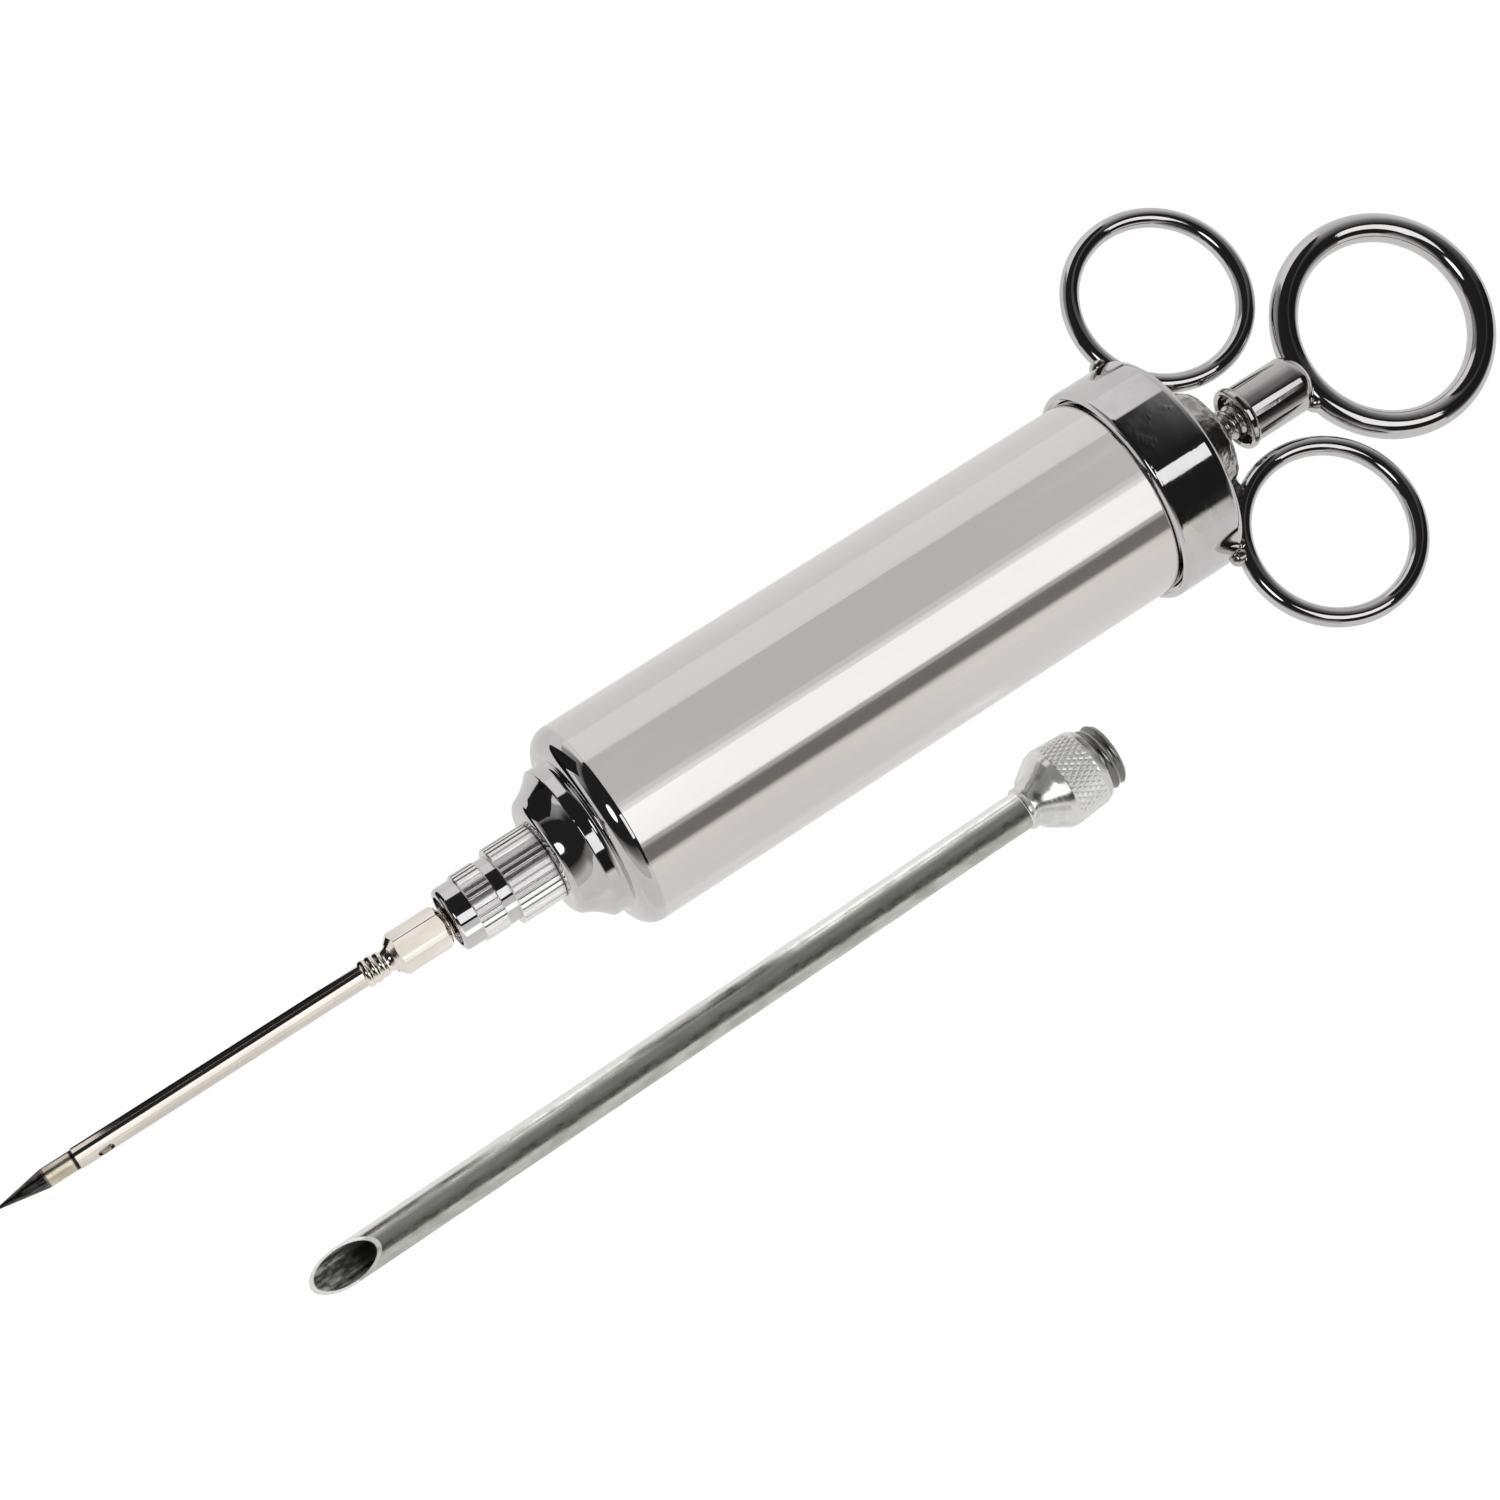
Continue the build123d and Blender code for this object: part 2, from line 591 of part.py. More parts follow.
save("barrel_tube", barrel_tube())
save("front_cap", front_cap())
save("rear_cap_gasket", rear_cap_gasket())
save("rear_cap", rear_cap())
save("finger_yoke", finger_yoke())
save("finger_ring_left", finger_ring(1))
save("finger_ring_right", finger_ring(-1))
save("ring_braze_beads", braze_bead(1), braze_bead(-1))
save("rod_guide_bush", rod_guide_bush())
save("piston_o_ring_front", o_ring(PISTON_FRONT_X + O_RING_OFFSET))
save("piston_o_ring_rear", o_ring(PISTON_REAR_X - O_RING_OFFSET))
save("piston_body", piston_body())
save("piston_washer", piston_washer())
save("piston_nut", piston_nut())
save("plunger_rod", plunger_rod())
save("thumb_hub", thumb_hub())
save("thumb_ring", thumb_ring())
save("needle_adapter", needle_adapter())
save("adapter_washer", adapter_washer())
save("needle_hub", needle_hub())
save("needle_washer", needle_washer())
save("needle_tube", needle_tube())
save("needle_tip", needle_tip())
save("spare_needle_tube", spare_needle_tube())
save("spare_needle_hub", spare_needle_hub())
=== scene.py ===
import json
import math

import bpy
from mathutils import Matrix, Vector, noise


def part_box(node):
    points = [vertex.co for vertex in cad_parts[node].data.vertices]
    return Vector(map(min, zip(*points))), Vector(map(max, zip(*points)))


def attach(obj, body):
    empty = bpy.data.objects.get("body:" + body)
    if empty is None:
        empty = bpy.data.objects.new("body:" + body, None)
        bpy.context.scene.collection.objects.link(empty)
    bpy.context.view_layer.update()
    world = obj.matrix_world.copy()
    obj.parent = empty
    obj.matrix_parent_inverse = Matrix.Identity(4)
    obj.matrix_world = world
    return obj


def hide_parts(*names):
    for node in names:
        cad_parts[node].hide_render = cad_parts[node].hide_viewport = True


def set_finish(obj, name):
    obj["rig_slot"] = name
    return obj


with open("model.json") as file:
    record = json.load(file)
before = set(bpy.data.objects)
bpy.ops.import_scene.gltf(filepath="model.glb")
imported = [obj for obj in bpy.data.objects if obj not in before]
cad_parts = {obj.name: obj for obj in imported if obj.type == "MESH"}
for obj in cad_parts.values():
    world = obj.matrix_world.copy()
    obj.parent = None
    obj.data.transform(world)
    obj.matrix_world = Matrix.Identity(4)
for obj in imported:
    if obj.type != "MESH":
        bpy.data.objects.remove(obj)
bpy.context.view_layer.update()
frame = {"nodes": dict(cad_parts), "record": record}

MM = 0.001

# ---- camera: the photograph's viewing angle ---------------------------------------------------

VIEW_TILT = math.radians(14.0)       # how far the needle end leans towards the viewer
VIEW_ROLL = math.radians(10.0)       # turn of the tool about its own axis
VIEW_SLANT = math.radians(32.6)      # slope of the barrel across the picture
VIEW_DISTANCE = 453.9 * MM
VIEW_CENTRE = Vector((-21.45 * MM, 0, 0))
VIEW_SIDE = -2.5 * MM
LENS = 76.8
SENSOR = 36.0


def view_axes():
    """The picture's right, up and towards-viewer directions in the model's frame."""
    along = Vector((
        math.cos(VIEW_TILT),
        -math.sin(VIEW_ROLL) * math.sin(VIEW_TILT),
        math.cos(VIEW_ROLL) * math.sin(VIEW_TILT),
    ))
    across = Vector((0, math.cos(VIEW_ROLL), math.sin(VIEW_ROLL)))
    towards = along.cross(across)
    right = math.cos(VIEW_SLANT) * along - math.sin(VIEW_SLANT) * across
    up = math.sin(VIEW_SLANT) * along + math.cos(VIEW_SLANT) * across
    return right, up, towards, across


def add_camera():
    right, up, towards, across = view_axes()
    data = bpy.data.cameras.new("camera")
    data.lens = LENS
    data.sensor_width = SENSOR
    data.clip_start = 0.01
    data.clip_end = 50
    camera = bpy.data.objects.new("camera", data)
    bpy.context.scene.collection.objects.link(camera)
    turn = Matrix((right, up, towards)).transposed().to_4x4()
    place = VIEW_CENTRE + VIEW_SIDE * across + VIEW_DISTANCE * towards
    camera.matrix_world = Matrix.Translation(place) @ turn
    bpy.context.scene.camera = camera


add_camera()

# ---- studio -----------------------------------------------------------------------------------
# The rings and panels of light around the tool are placed by two numbers of a direction: the
# angle about the barrel's axis (0 at +Y, 90 straight up) and the share of the direction along +X.

scene = bpy.context.scene
scene.view_settings.view_transform = "Standard"

COOL = (1.0, 0.985, 0.985)
WARM = (1.0, 0.975, 0.94)
CREAM = (1.0, 0.965, 0.91)
PALE = (1.0, 0.985, 0.975)
WHITE = (1.0, 1.0, 1.0)

# (angle in degrees, tint, brightness) round the axis, for ranges of direction along X
MIDDLE_RING = [
    (-180, WARM, 0.78), (-150, WARM, 0.64), (-115, WHITE, 1.0), (-92, WHITE, 1.3),
    (-70, WHITE, 1.0), (-45, COOL, 0.86), (35, COOL, 0.86), (36, COOL, 0.02),
    (160, COOL, 0.015), (165, CREAM, 0.84), (180, WARM, 0.8),
]
REAR_RING = [
    (-180, WARM, 0.6), (-90, WHITE, 0.8), (-30, COOL, 0.8), (30, COOL, 0.62), (60, COOL, 0.26),
    (78, COOL, 0.12), (95, COOL, 0.015), (148, COOL, 0.015), (165, WARM, 0.1), (180, WARM, 0.6),
]
FRONT_RING = [
    (-180, WARM, 0.6), (-90, WHITE, 0.7), (-40, COOL, 0.45), (10, COOL, 0.34), (32, COOL, 0.2),
    (39, COOL, 0.02), (138, COOL, 0.02), (155, WARM, 0.25), (168, WARM, 0.6), (180, WARM, 0.6),
]
END_RING = [
    (-180, WARM, 0.27), (-20, COOL, 0.27), (20, COOL, 0.02), (138, COOL, 0.02), (152, WARM, 0.2),
    (180, WARM, 0.27),
]
REAR_EDGE = (0.385, 0.42)            # where the middle ring gives way to the rear ring
FRONT_EDGE = (-0.28, -0.18)          # where the front ring gives way to the middle ring
END_EDGE = (-0.95, -0.86)            # where the end ring gives way to the front ring
SPOT_DIRECTION = Vector((-0.6, -0.09, 0.79)).normalized()   # high over the needle end
SPOT_HALF_ANGLES = (8.2, 10.2)
SPOT_BRIGHTNESS = 2.2


def ring_ramp(nodes, links, share, stops):
    """A colour ramp round the axis from (degrees, tint, brightness) stops."""
    ramp = nodes.new("ShaderNodeValToRGB")
    elements = ramp.color_ramp.elements
    elements.remove(elements[-1])
    for index, (degrees, tint, level) in enumerate(stops):
        position = (degrees + 180) / 360
        element = elements[0] if index == 0 else elements.new(position)
        element.position = position
        element.color = (tint[0] * level, tint[1] * level, tint[2] * level, 1)
    links.new(share, ramp.inputs[0])
    return ramp.outputs[0]


def step_between(nodes, links, value, low, high):
    """0 below low, 1 above high, smooth between."""
    step = nodes.new("ShaderNodeMapRange")
    step.interpolation_type = "SMOOTHSTEP"
    step.inputs["From Min"].default_value = low
    step.inputs["From Max"].default_value = high
    links.new(value, step.inputs["Value"])
    return step.outputs[0]


def mix_colours(nodes, links, factor, first, second):
    """First where factor is 0, second where it is 1. Either may be a plain colour."""
    mix = nodes.new("ShaderNodeMix")
    mix.data_type = "RGBA"
    links.new(factor, mix.inputs["Factor"])
    for name, colour in (("A", first), ("B", second)):
        socket = [i for i in mix.inputs if i.name == name and i.type == "RGBA"][0]
        if isinstance(colour, tuple):
            socket.default_value = (*colour, 1)
        else:
            links.new(colour, socket)
    return [o for o in mix.outputs if o.type == "RGBA"][0]


def add_world():
    world = bpy.data.worlds.new("studio")
    scene.world = world
    world.use_nodes = True
    nodes, links = world.node_tree.nodes, world.node_tree.links
    nodes.clear()
    coord = nodes.new("ShaderNodeTexCoord")
    split = nodes.new("ShaderNodeSeparateXYZ")
    links.new(coord.outputs["Generated"], split.inputs[0])
    along = split.outputs["X"]
    angle = nodes.new("ShaderNodeMath")
    angle.operation = "ARCTAN2"
    links.new(split.outputs["Z"], angle.inputs[0])
    links.new(split.outputs["Y"], angle.inputs[1])
    share = nodes.new("ShaderNodeMapRange")
    share.inputs["From Min"].default_value = -math.pi
    share.inputs["From Max"].default_value = math.pi
    links.new(angle.outputs[0], share.inputs["Value"])

    middle = ring_ramp(nodes, links, share.outputs[0], MIDDLE_RING)
    rear = ring_ramp(nodes, links, share.outputs[0], REAR_RING)
    front = ring_ramp(nodes, links, share.outputs[0], FRONT_RING)
    end = ring_ramp(nodes, links, share.outputs[0], END_RING)
    colour = mix_colours(nodes, links, step_between(nodes, links, along, *REAR_EDGE), middle, rear)
    colour = mix_colours(nodes, links, step_between(nodes, links, along, *FRONT_EDGE), front, colour)
    colour = mix_colours(nodes, links, step_between(nodes, links, along, *END_EDGE), end, colour)
    dot = nodes.new("ShaderNodeVectorMath")
    dot.operation = "DOT_PRODUCT"
    dot.inputs[1].default_value = SPOT_DIRECTION
    links.new(coord.outputs["Generated"], dot.inputs[0])
    inner, outer = (math.cos(math.radians(a)) for a in SPOT_HALF_ANGLES)
    spot = step_between(nodes, links, dot.outputs["Value"], outer, inner)
    colour = mix_colours(nodes, links, spot, colour, (SPOT_BRIGHTNESS,) * 3)

    background = nodes.new("ShaderNodeBackground")
    out = nodes.new("ShaderNodeOutputWorld")
    links.new(colour, background.inputs[0])
    links.new(background.outputs[0], out.inputs[0])


add_world()

FLOOR_HALF = 1.5
FLOOR_GREY = 0.42
FLOOR_SEEN = 0.93                    # what the camera sees of the floor's own glow
FLOOR_REFLECTED = 0.66               # what polished metal sees of it


def add_floor():
    """A pale sheet at the height that the tool lies on."""
    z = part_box("rear_cap")[0].z
    mesh = bpy.data.meshes.new("floor")
    corners = [(-1, -1), (1, -1), (1, 1), (-1, 1)]
    mesh.from_pydata([(FLOOR_HALF * x, FLOOR_HALF * y, z) for x, y in corners], [], [(0, 1, 2, 3)])
    floor = bpy.data.objects.new("floor", mesh)
    scene.collection.objects.link(floor)
    material = bpy.data.materials.new("floor")
    material.use_nodes = True
    nodes, links = material.node_tree.nodes, material.node_tree.links
    shader = nodes["Principled BSDF"]
    shader.inputs["Base Color"].default_value = (FLOOR_GREY, FLOOR_GREY, FLOOR_GREY, 1)
    shader.inputs["Roughness"].default_value = 0.95
    shader.inputs["Specular IOR Level"].default_value = 0.0
    path = nodes.new("ShaderNodeLightPath")
    seen = path.outputs["Is Camera Ray"]
    glow = nodes.new("ShaderNodeMapRange")
    glow.inputs["To Min"].default_value = FLOOR_REFLECTED
    glow.inputs["To Max"].default_value = FLOOR_SEEN
    links.new(seen, glow.inputs["Value"])
    links.new(mix_colours(nodes, links, seen, PALE, WHITE), shader.inputs["Emission Color"])
    links.new(glow.outputs[0], shader.inputs["Emission Strength"])
    mesh.materials.append(material)


add_floor()

PANEL_DISTANCE = 3.0
ALL_ALONG = (-0.9, 0.9)
# (name, angles about X, shares of direction along X, radiance, tint) of the soft panels
SOFTBOX_UPPER = ("softbox_upper", (102.5, 116.5), (-0.24, 0.46), 1.2, WHITE)
SOFTBOX_LOWER = ("softbox_lower", (116.5, 130.0), (-0.24, 0.44), 1.2, WHITE)
BARREL_FILLS = [
    ("barrel_fill", (35.5, 102.6), ALL_ALONG, 0.59, COOL),
    ("barrel_fill_edge", (92.0, 102.6), ALL_ALONG, 0.12, COOL),
    ("barrel_fill_soft", (97.5, 102.6), ALL_ALONG, 0.18, COOL),
    ("barrel_fill_white", (130.0, 139.0), (-0.24, 0.44), 1.2, WHITE),
    ("barrel_fill_fade", (139.0, 144.0), ALL_ALONG, 0.3, WHITE),
    ("barrel_fill_tail", (139.0, 163.0), ALL_ALONG, 0.18, WARM),
]
SPARE_FILLS = [
    ("spare_fill_edge", (-30.0, 34.0), ALL_ALONG, 0.75, WHITE),
    ("spare_fill_upper", (34.0, 58.0), ALL_ALONG, 0.48, WHITE),
    ("spare_fill_middle", (60.0, 100.0), ALL_ALONG, 0.23, WHITE),
    ("spare_fill_lower", (100.0, 150.0), ALL_ALONG, 0.15, WHITE),
    ("spare_fill_foot", (153.0, 163.0), ALL_ALONG, 0.7, WHITE),
    ("spare_fill_rim", (40.0, 110.0), (-0.85, -0.45), 1.0, WHITE),
]
NEEDLE_FILLS = [
    ("needle_fill", (78.0, 102.5), (-0.1, 0.25), 1.35, WHITE),
    ("needle_fill_lower", (130.0, 163.0), (-0.1, 0.25), 0.9, WARM),
]
SPARE_HUB_FILLS = [
    ("spare_hub_fill", (36.0, 98.0), ALL_ALONG, 0.25, WHITE),
    ("spare_hub_glint", (98.0, 128.0), (-0.9, -0.24), 2.0, WHITE),
    ("spare_hub_fill_foot", (152.0, 163.0), ALL_ALONG, 0.6, WHITE),
    ("spare_hub_fill_side", (100.0, 170.0), (0.4, 0.9), 0.5, WHITE),
]
ADAPTER_FILLS = [
    ("adapter_fill_edge", (138.5, 163.0), ALL_ALONG, 0.7, WHITE),
    ("adapter_fill_side", (163.0, 235.0), ALL_ALONG, 0.8, WHITE),
]
HEXAGON_FILLS = [
    ("hexagon_fill", (46.0, 102.0), (-0.02, 0.3), 0.85, WARM),
    ("hexagon_fill_lower", (131.0, 163.0), (-0.02, 0.3), 1.0, WARM),
]


def add_panel(name, angles, along, radiance, tint, receivers, only):
    """A soft panel far off, across two angles about X and two shares of direction along X.

    It lights only the given objects, or all but them."""
    middle = math.radians(sum(angles) / 2)
    width = 2 * PANEL_DISTANCE * math.tan(math.radians(angles[1] - angles[0]) / 2)
    low, high = (PANEL_DISTANCE * share / math.sqrt(1 - share**2) for share in along)
    data = bpy.data.lights.new(name, "AREA")
    data.shape = "RECTANGLE"
    data.size = high - low
    data.size_y = width
    data.color = tint
    data.energy = radiance * math.pi * data.size * width
    light = bpy.data.objects.new(name, data)
    scene.collection.objects.link(light)
    light.location = (
        (low + high) / 2, PANEL_DISTANCE * math.cos(middle), PANEL_DISTANCE * math.sin(middle)
    )
    light.rotation_euler = (middle - math.pi / 2, 0, 0)
    light.visible_camera = False
    linked = bpy.data.collections.new(name + "_receivers")
    for receiver in receivers:
        linked.objects.link(receiver)
    for entry in linked.collection_objects:
        entry.light_linking.link_state = "INCLUDE" if only else "EXCLUDE"
    light.light_linking.receiver_collection = linked


def light_tool(hub):
    """The softbox, and the fills that each light a part of their own."""
    nodes = frame["nodes"]
    add_panel(*SOFTBOX_UPPER, [nodes["spare_needle_tube"]], False)
    add_panel(*SOFTBOX_LOWER, [nodes["spare_needle_tube"], nodes["rear_cap"]], False)
    lit_parts = (
        (BARREL_FILLS, [nodes["barrel_tube"]]),
        (SPARE_FILLS, [nodes["spare_needle_tube"]]),
        (SPARE_HUB_FILLS, [hub]),
        (ADAPTER_FILLS, [nodes["needle_adapter"]]),
        (NEEDLE_FILLS, [nodes["needle_tube"], nodes["needle_tip"]]),
        (HEXAGON_FILLS, [nodes["needle_hub"]]),
    )
    for fills, receivers in lit_parts:
        for fill in fills:
            add_panel(*fill, receivers, True)


FLAG_GREY = 0.03
FLAG_REACH = 60 * MM
FLAG_HEIGHT = 42 * MM
FLAG_LEAN = 19 * MM                  # how far along X a reflection travels on its way to the flag
FLAG_NEAR_Y = 2.5 * MM
FLAG_PAST_TIP = 14 * MM
FLAG_SHORT_OF_HUB = 15 * MM


def add_flag():
    """A dark card beside the needle, seen only as a reflection in it."""
    low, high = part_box("needle_tube")
    floor_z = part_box("rear_cap")[0].z + 0.05 * MM
    start, end = low.x - FLAG_PAST_TIP, high.x - FLAG_SHORT_OF_HUB
    mesh = bpy.data.meshes.new("flag")
    mesh.from_pydata([
        (start, FLAG_NEAR_Y, floor_z),
        (end, FLAG_NEAR_Y, floor_z),
        (end + FLAG_LEAN, FLAG_REACH, floor_z),
        (start + FLAG_LEAN, FLAG_REACH, floor_z),
        (end + FLAG_LEAN, FLAG_REACH, FLAG_HEIGHT),
        (start + FLAG_LEAN, FLAG_REACH, FLAG_HEIGHT),
    ], [], [(0, 1, 2, 3), (3, 2, 4, 5)])
    flag = bpy.data.objects.new("flag", mesh)
    scene.collection.objects.link(flag)
    material = bpy.data.materials.new("flag")
    material.use_nodes = True
    shader = material.node_tree.nodes["Principled BSDF"]
    shader.inputs["Base Color"].default_value = (FLAG_GREY, FLAG_GREY, FLAG_GREY, 1)
    shader.inputs["Roughness"].default_value = 0.9
    shader.inputs["Specular IOR Level"].default_value = 0.0
    mesh.materials.append(material)
    flag.visible_camera = False
    flag.visible_shadow = False
    flag.visible_diffuse = False


add_flag()

# ---- mesh helpers -----------------------------------------------------------------------------

SHARP_ANGLE = math.radians(38)
COARSE_LUMPS = 420.0                 # lumps per metre
FINE_LUMPS = 1500.0
FINE_SHARE = 0.3
ROUND_SEGMENTS = 96


def add_piece(name, vertices, faces, node_slot, body, nodes=()):
    """A smooth-shaded mesh with crisp edges kept, riding on a body and standing for CAD nodes."""
    mesh = bpy.data.meshes.new(name)
    mesh.from_pydata(vertices, [], faces)
    mesh.validate()
    mesh.shade_smooth()
    mesh.set_sharp_from_angle(angle=SHARP_ANGLE)
    piece = bpy.data.objects.new(name, mesh)
    scene.collection.objects.link(piece)
    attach(piece, body)
    if nodes:
        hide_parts(*nodes)
    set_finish(piece, node_slot)
    return piece


def revolved(outline, segments, relief=None):
    """Vertices and faces of a closed outline of (x, r) points turned about X.

    relief(x, angle, r) gives the radius that a point gets instead of its own."""
    vertices, faces = [], []
    count = len(outline)
    for step in range(segments):
        angle = 2 * math.pi * step / segments
        for x, r in outline:
            radius = relief(x, angle, r) if relief else r
            vertices.append((x, radius * math.cos(angle), radius * math.sin(angle)))
    for step in range(segments):
        here, there = step * count, (step + 1) % segments * count
        for point in range(count):
            after = (point + 1) % count
            faces.append((here + point, here + after, there + after, there + point))
    return vertices, faces


def spaced(start, end, step):
    """Stations from start to end about step apart, both ends included."""
    count = max(1, math.ceil(abs(end - start) / step))
    return [start + (end - start) * index / count for index in range(count + 1)]


def fused(shapes, voxel, smoothing, lump):
    """One organic skin around overlapping closed shapes, with lumps of the given depth."""
    vertices, faces = [], []
    for shape_vertices, shape_faces in shapes:
        first = len(vertices)
        vertices += shape_vertices
        faces += [tuple(first + index for index in face) for face in shape_faces]
    mesh = bpy.data.meshes.new("fusing")
    mesh.from_pydata(vertices, [], faces)
    source = bpy.data.objects.new("fusing", mesh)
    scene.collection.objects.link(source)
    remesh = source.modifiers.new("remesh", "REMESH")
    remesh.mode = "VOXEL"
    remesh.voxel_size = voxel
    smooth = source.modifiers.new("smooth", "SMOOTH")
    smooth.factor = 0.5
    smooth.iterations = smoothing
    graph = bpy.context.evaluated_depsgraph_get()
    skin = bpy.data.meshes.new_from_object(source.evaluated_get(graph))
    bpy.data.objects.remove(source)
    normals = [vertex.normal.copy() for vertex in skin.vertices]
    points = []
    for vertex, normal in zip(skin.vertices, normals):
        swell = noise.noise(vertex.co * COARSE_LUMPS)
        swell += FINE_SHARE * noise.noise(vertex.co * FINE_LUMPS)
        points.append(tuple(vertex.co + normal * lump * swell))
    polygons = [tuple(polygon.vertices) for polygon in skin.polygons]
    bpy.data.meshes.remove(skin)
    return points, polygons


def ball(centre, radius, stretch=(1, 1, 1), rows=14, columns=24):
    """A closed round blob, stretched along the axes."""
    vertices = [(centre[0] - radius * stretch[0], centre[1], centre[2])]
    for row in range(1, rows):
        polar = math.pi * row / rows
        for column in range(columns):
            turn = 2 * math.pi * column / columns
            vertices.append((
                centre[0] - radius * stretch[0] * math.cos(polar),
                centre[1] + radius * stretch[1] * math.sin(polar) * math.cos(turn),
                centre[2] + radius * stretch[2] * math.sin(polar) * math.sin(turn),
            ))
    vertices.append((centre[0] + radius * stretch[0], centre[1], centre[2]))
    faces = []
    for column in range(columns):
        beside = (column + 1) % columns
        faces.append((0, 1 + beside, 1 + column))
        for row in range(rows - 2):
            low, high = 1 + row * columns, 1 + (row + 1) * columns
            faces.append((low + column, low + beside, high + beside, high + column))
        last = 1 + (rows - 2) * columns
        faces.append((last + column, last + beside, len(vertices) - 1))
    return vertices, faces


# ---- cast yoke and brazing --------------------------------------------------------------------

RING_MEAN_R = 13.45 * MM             # out to the middle of a finger ring's wire


def ring_centre(node):
    low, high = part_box(node)
    return (low + high) / 2


CAP_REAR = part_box("rear_cap")[1].x
BOSS_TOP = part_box("rod_guide_bush")[1].x
YOKE_BORE_R = 3.0 * MM
BOSS_BASE_R = 9.8 * MM
BOSS_TOP_R = 8.2 * MM
BOSS_COVER = 0.25 * MM               # casting behind the end of the guide bush
CAST_SINK = 0.3 * MM                 # how far the casting reaches into the cap's rear face
WEB_ROOT_Y = 3.5 * MM
WEB_STEP_Y = 8 * MM                  # where the web steps down to the wire's thickness
WEB_TIP_Y = 14.6 * MM
WEB_REACH = 6.1 * MM
WEB_ROOT_HALF = 2.1 * MM
WEB_TIP_HALF = 1.25 * MM
WEB_ANGLES = (206, 213, 220, 228, 236)   # where the web meets the ring's wire, in degrees


def boss_shape():
    """The boss that the rod comes out of, covering the guide bush."""
    rear = BOSS_TOP + BOSS_COVER
    return revolved([
        (CAP_REAR - CAST_SINK, YOKE_BORE_R),
        (CAP_REAR - CAST_SINK, BOSS_BASE_R),
        (CAP_REAR + 0.6 * MM, BOSS_BASE_R),
        (CAP_REAR + 3.2 * MM, BOSS_TOP_R + 0.8 * MM),
        (rear - 1.3 * MM, BOSS_TOP_R),
        (rear - 0.4 * MM, BOSS_TOP_R - 0.7 * MM),
        (rear, BOSS_TOP_R - 2.2 * MM),
        (rear, YOKE_BORE_R),
    ], ROUND_SEGMENTS)


def web_shape(node):
    """The flat web from the boss out to a finger ring, thinner where it meets the wire."""
    centre = ring_centre(node)
    side = 1 if centre.y > 0 else -1
    outline = [(CAP_REAR - CAST_SINK, WEB_ROOT_Y), (CAP_REAR - CAST_SINK, WEB_TIP_Y)]
    for degrees in WEB_ANGLES:
        angle = math.radians(degrees)
        outline.append((
            centre.x + RING_MEAN_R * math.cos(angle),
            abs(centre.y) + RING_MEAN_R * math.sin(angle),
        ))
    outline.append((CAP_REAR + WEB_REACH, WEB_ROOT_Y))
    vertices = []
    for z_side in (-1, 1):
        for x, y in outline:
            half = WEB_ROOT_HALF if y < WEB_STEP_Y else WEB_TIP_HALF
            vertices.append((x, side * y, z_side * half))
    count = len(outline)
    faces = [tuple(range(count)), tuple(reversed(range(count, 2 * count)))]
    for point in range(count):
        after = (point + 1) % count
        faces.append((point, point + count, after + count, after))
    if side < 0:
        faces = [tuple(reversed(face)) for face in faces]
    return vertices, faces


def add_yoke():
    webs = [web_shape("finger_ring_left"), web_shape("finger_ring_right")]
    skin = fused([boss_shape(), *webs], voxel=0.16 * MM, smoothing=6, lump=0.16 * MM)
    return add_piece("yoke_casting", *skin, "cast_boss", "cap", ["finger_yoke"])


# blobs of braze: (x, y, z) from where the blob sits, radius, and stretch along the axes
RING_BLOBS = (
    ((0.0, 0.0, 0.0), 1.3 * MM, (1.4, 1.05, 1.15)),
    ((MM, -1.4 * MM, 0.0), 1.4 * MM, (1, 1.2, 1.1)),
)
THUMB_BLOBS = (
    ((0.0, -4.35 * MM, -0.35 * MM), 1.5 * MM, (1.25, 1.0, 1.15)),
    ((-MM, -4.15 * MM, -0.3 * MM), 0.9 * MM, (1.6, 0.8, 1.1)),
)
RING_BLOBS_BACK = 0.7 * MM           # behind the middle of the plain beads
RING_BLOBS_IN = 1.4 * MM             # inside their outer edge
THUMB_CORNER = 1.75 * MM             # behind the front of the thumb ring


def add_ring_brazing():
    """A blob of braze where each ring's wire crosses the rear cap's corner."""
    low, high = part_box("ring_braze_beads")
    bead_x = (low.x + high.x) / 2 + RING_BLOBS_BACK
    shapes = []
    for side in (1, -1):
        bead_y = side * (high.y - RING_BLOBS_IN)
        for (x, y, z), radius, stretch in RING_BLOBS:
            shapes.append(ball((bead_x + x, bead_y + side * y, z), radius, stretch))
    skin = fused(shapes, voxel=0.12 * MM, smoothing=20, lump=0.08 * MM)
    return add_piece("ring_brazing", *skin, "braze_metal", "cap", ["ring_braze_beads"])


def add_thumb_brazing():
    """The fillet of braze in the lower corner between the thumb hub and the thumb ring."""
    corner_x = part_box("thumb_ring")[0].x + THUMB_CORNER
    shapes = [
        ball((corner_x + x, y, z), radius, stretch)
        for (x, y, z), radius, stretch in THUMB_BLOBS
    ]
    skin = fused(shapes, voxel=0.14 * MM, smoothing=8, lump=0.05 * MM)
    return add_piece("thumb_brazing", *skin, "braze_metal", "plunger")


# ---- plunger rod ------------------------------------------------------------------------------

ROD_THREAD_PITCH = 1.7 * MM
ROD_THREAD_DEPTH = 0.5 * MM
ROD_THREAD_RUN_OUT = 0.5 * MM
ROD_TAIL_R = 2.0 * MM
ROD_CHAMFER = 0.3 * MM
AXIS_R = 0.02 * MM                   # how far a turned outline stays off the axis


def thread_fade(x, start, end, run_out):
    """1 along a thread, falling to 0 over its run-out at both ends."""
    return max(0.0, min(1.0, (x - start) / run_out, (end - x) / run_out))


